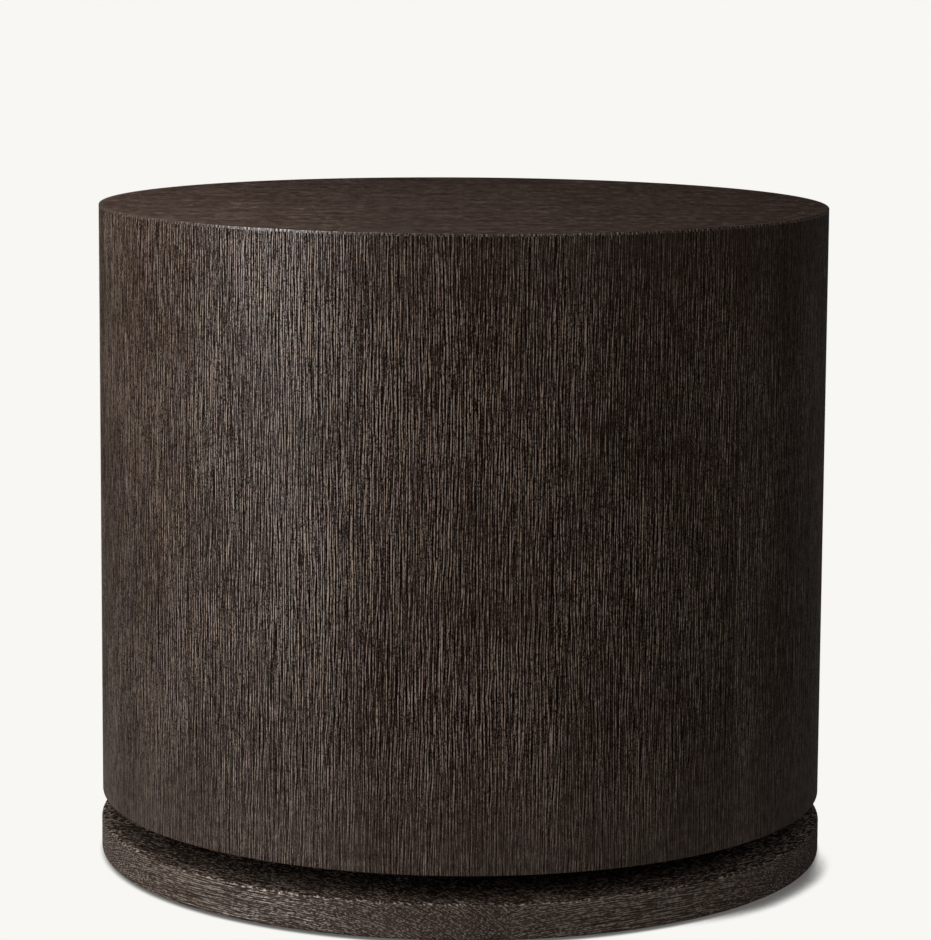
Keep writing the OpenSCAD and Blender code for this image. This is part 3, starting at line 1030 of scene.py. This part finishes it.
def add_camera():
    """The camera, turned, tipped and rolled as the photograph's was."""
    data = bpy.data.cameras.new("camera")
    data.lens = CAMERA_LENS_MM
    data.sensor_width = SENSOR_MM
    data.shift_y = CAMERA_SHIFT
    camera = add_object("camera", data)
    turn = Matrix.Rotation(-CAMERA_YAW, 4, "Z")
    tip = Matrix.Rotation(math.pi / 2 - CAMERA_PITCH, 4, "X")
    roll = Matrix.Rotation(CAMERA_ROLL, 4, "Z")
    camera.matrix_world = Matrix.Translation(CAMERA_PLACE) @ turn @ tip @ roll
    bpy.context.scene.camera = camera


def add_light(name, place, target, size, power):
    """A rectangular soft light that faces a point."""
    data = bpy.data.lights.new(name, "AREA")
    data.shape = "RECTANGLE"
    data.size, data.size_y = size
    data.energy = power
    light = add_object(name, data)
    light.visible_camera = False
    way = Vector(target) - Vector(place)
    light.matrix_world = Matrix.Translation(place) @ way.to_track_quat("-Z", "Y").to_matrix().to_4x4()


def open_sky(finish, reach, lean):
    """1 on open floor, down to 0 where the table covers all that a leaning point looks at."""
    normal = finish.node("ShaderNodeCombineXYZ", inputs=dict(enumerate(lean)))
    inputs = {"Distance": reach, "Normal": normal}
    return finish.node("ShaderNodeAmbientOcclusion", inputs=inputs, output="AO")


def stage_floor(colour):
    """The floor: pale and flat in the camera's view, and darker where the table keeps light off it.

    It is a wide ring, open under the base and clear from below, so that the feet can be seen there.
    """
    turn = np.linspace(0, 2 * math.pi, 97)
    radius = np.array([BASE_R - 12 * MM, BASE_R + 0.5, FLOOR_R])
    rings = round_the_table(radius, turn[:, None], 0)
    mesh = bpy.data.meshes.new("floor")
    quads = sweep_quads(*rings.shape[:2], closed=False)
    mesh.from_pydata(rings.reshape(-1, 3), [], quads[:, ::-1].tolist())
    finish = Finish("floor_paper", Roughness=0.9, Specular_IOR_Level=0)
    finish.plug(FLOOR_BOUNCE, finish.shader.inputs["Base Color"])
    camera_ray = finish.node("ShaderNodeLightPath", output="Is Camera Ray")
    line = open_sky(finish, LINE_REACH, (0, 0, 1)).above(0.1, 0.95)
    way = Vector((math.sin(SHADOW_ANGLE), -math.cos(SHADOW_ANGLE), 0))
    aligned = finish.object_place().vector("NORMALIZE").vector("DOT_PRODUCT", way, "Value")
    thinner = 0.5 - aligned.rise(math.cos(SHADOW_END), math.cos(SHADOW_FULL)) * 0.5
    shadow = (open_sky(finish, SHADOW_REACH, (-way.x, -way.y, 0.25)) + thinner).above(0.45, 0.85)
    shown = finish.mix(line * shadow, FLOOR_SHADE, colour)
    glow = finish.node("ShaderNodeEmission", inputs={0: shown})
    plain = Value(finish, finish.shader.outputs[0])
    above = finish.choose(camera_ray, plain, glow)
    from_below = finish.node("ShaderNodeNewGeometry", output="Backfacing")
    shown_above = finish.choose(from_below, above, finish.node("ShaderNodeBsdfTransparent"))
    finish.plug(shown_above, finish.tree.nodes["Material Output"].inputs["Surface"])
    mesh.materials.append(finish.material)
    floor = add_object("floor", mesh)


def room(colour, strength):
    """The world: the backdrop's colour in the camera's view, soft light otherwise, dim in gloss."""
    world = bpy.data.worlds.new("room")
    shop = Shop(world)
    gloss_ray = shop.node("ShaderNodeLightPath", output="Is Glossy Ray")
    levels = {0: gloss_ray, 3: strength, 4: strength * GLOSS_SHARE}
    dimming = shop.node("ShaderNodeMapRange", inputs=levels)
    light = shop.node("ShaderNodeBackground", inputs={0: ROOM_COLOUR, 1: dimming})
    seen = shop.node("ShaderNodeBackground", inputs={0: colour})
    camera_ray = shop.node("ShaderNodeLightPath", output="Is Camera Ray")
    shop.plug(shop.choose(camera_ray, light, seen), shop.tree.nodes["World Output"].inputs["Surface"])
    bpy.context.scene.world = world


class DRUM_TABLE_OT_stage(Operator):
    """Sets up the floor, the lights and the camera"""

    bl_idname = "drum_table.stage"
    bl_label = "Studio"

    def execute(self, context):
        settings = context.scene.drum_table_stage
        stage_floor(settings.backdrop_colour)
        room(settings.backdrop_colour, settings.room_light)
        middle = (0, 0, 0.33)
        add_light("key", (-2.1, -1.35, 1.05), middle, (1.5, 1.9), settings.key_power)
        add_light("top", (-0.55, -0.2, 1.15), (-0.4, -0.1, DRUM_Z1), (0.5, 0.5), settings.top_power)
        add_light("fill", (1.4, -2.6, 2.1), middle, (2.4, 2.0), settings.fill_power)
        add_camera()
        context.scene.view_settings.view_transform = "Standard"
        return {"FINISHED"}


class DRUM_TABLE_PT_panel(Panel):
    """Lists the drum table's parts and settings"""

    bl_label = "Drum Table"
    bl_idname = "DRUM_TABLE_PT_panel"
    bl_space_type = "VIEW_3D"
    bl_region_type = "UI"
    bl_category = "Drum Table"

    def draw(self, context):
        for scene_name, kind in SETTINGS.items():
            box = self.layout.box()
            for name in kind.__annotations__:
                box.prop(getattr(context.scene, scene_name), name)
        for operator in OPERATORS:
            self.layout.operator(operator.bl_idname)


OPERATORS = (
    DRUM_TABLE_OT_side_leaves, DRUM_TABLE_OT_top_leaves, DRUM_TABLE_OT_base,
    DRUM_TABLE_OT_inner_parts, DRUM_TABLE_OT_stage,
)
SETTINGS = {"drum_table_drum": DrumSettings, "drum_table_base": BaseSettings,
            "drum_table_stage": StageSettings}
CLASSES = (*SETTINGS.values(), *OPERATORS, DRUM_TABLE_PT_panel)


def register():
    for cls in CLASSES:
        bpy.utils.register_class(cls)
    for name, group in SETTINGS.items():
        setattr(bpy.types.Scene, name, PointerProperty(type=group))


def unregister():
    for name in SETTINGS:
        delattr(bpy.types.Scene, name)
    for cls in reversed(CLASSES):
        bpy.utils.unregister_class(cls)


def main():
    register()
    bpy.ops.drum_table.side_leaves()
    bpy.ops.drum_table.top_leaves()
    bpy.ops.drum_table.base()
    bpy.ops.drum_table.inner_parts()
    bpy.ops.drum_table.stage()


if __name__ == "__main__":
    main()
